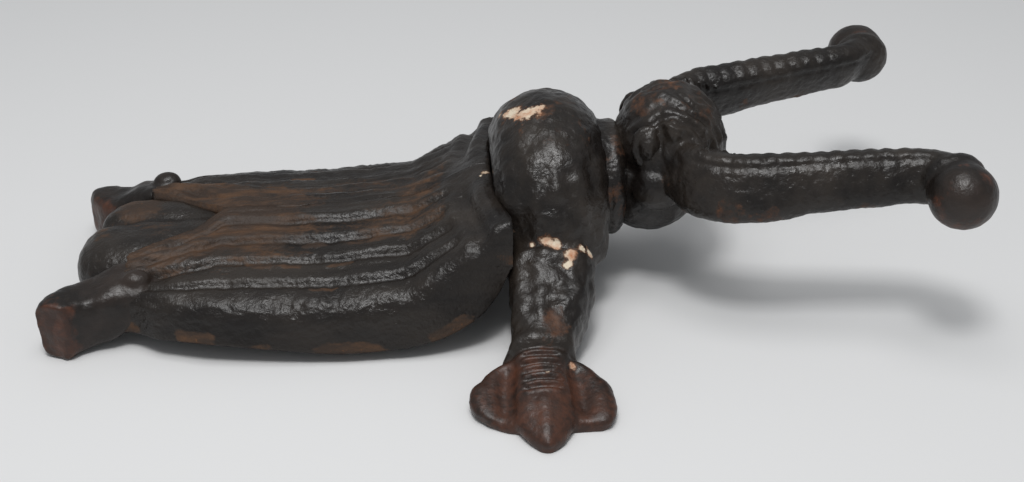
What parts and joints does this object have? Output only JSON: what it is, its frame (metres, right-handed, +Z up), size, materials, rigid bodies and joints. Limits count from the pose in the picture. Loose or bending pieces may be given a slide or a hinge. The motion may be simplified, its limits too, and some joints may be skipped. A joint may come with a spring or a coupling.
{
  "type": "boot jack",
  "caption": "Cast-iron beetle boot jack: two horns with ball ends form a heel fork, splayed front legs lift it, ribbed wings to stand on.",
  "frame": {"origin": "on the floor plane, below the centre of the bounding box", "axes": "+X towards the heel fork, +Y to the beetle's left, +Z up"},
  "size_m": [0.272, 0.188, 0.064],
  "materials": {
    "black_iron": "worn black paint over pitted sand-cast iron, rust in the hollows",
    "wing_iron": "black paint rubbed through to brown rust along the ribs",
    "rusty_iron": "brown rusted bare iron with traces of black paint"
  },
  "bodies": {
    "root": {"head": "black_iron", "left_eye": "black_iron", "right_eye": "black_iron", "neck_collar": "black_iron", "thorax": "black_iron", "left_horn": "black_iron", "right_horn": "black_iron", "left_horn_ball": "rusty_iron", "right_horn_ball": "rusty_iron", "left_front_leg": "black_iron", "right_front_leg": "black_iron", "left_front_foot": "rusty_iron", "right_front_foot": "rusty_iron", "left_wing": "wing_iron", "right_wing": "wing_iron", "tail_lobe": "wing_iron", "left_rear_foot": "rusty_iron", "right_rear_foot": "rusty_iron"}
  },
  "joints": []
}
